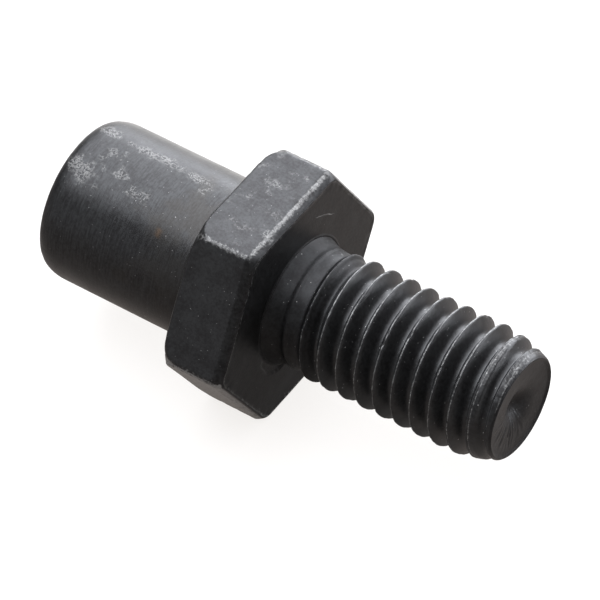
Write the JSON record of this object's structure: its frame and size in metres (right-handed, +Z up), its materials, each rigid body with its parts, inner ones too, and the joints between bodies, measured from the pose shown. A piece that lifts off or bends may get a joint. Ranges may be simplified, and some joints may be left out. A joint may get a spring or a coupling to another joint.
{
  "type": "hex collar stud",
  "caption": "One-piece black steel stud: plain round boss, hexagonal wrench collar and a rolled thread with a cupped end.",
  "frame": {"origin": "on the flat the stud lies on, under the axis, half way along the whole length", "axes": "+X along the axis from the boss to the thread, +Z up from the flat it lies on to the flat opposite, Y across the hexagon's corners"},
  "size_m": [0.0304, 0.016, 0.014],
  "materials": {
    "black_oxide_steel": "black oxide over turned and rolled steel, matte to satin, worn light along the collar's edge and the thread's crests"
  },
  "bodies": {
    "root": {"hex_collar_stud": "black_oxide_steel"}
  },
  "joints": []
}
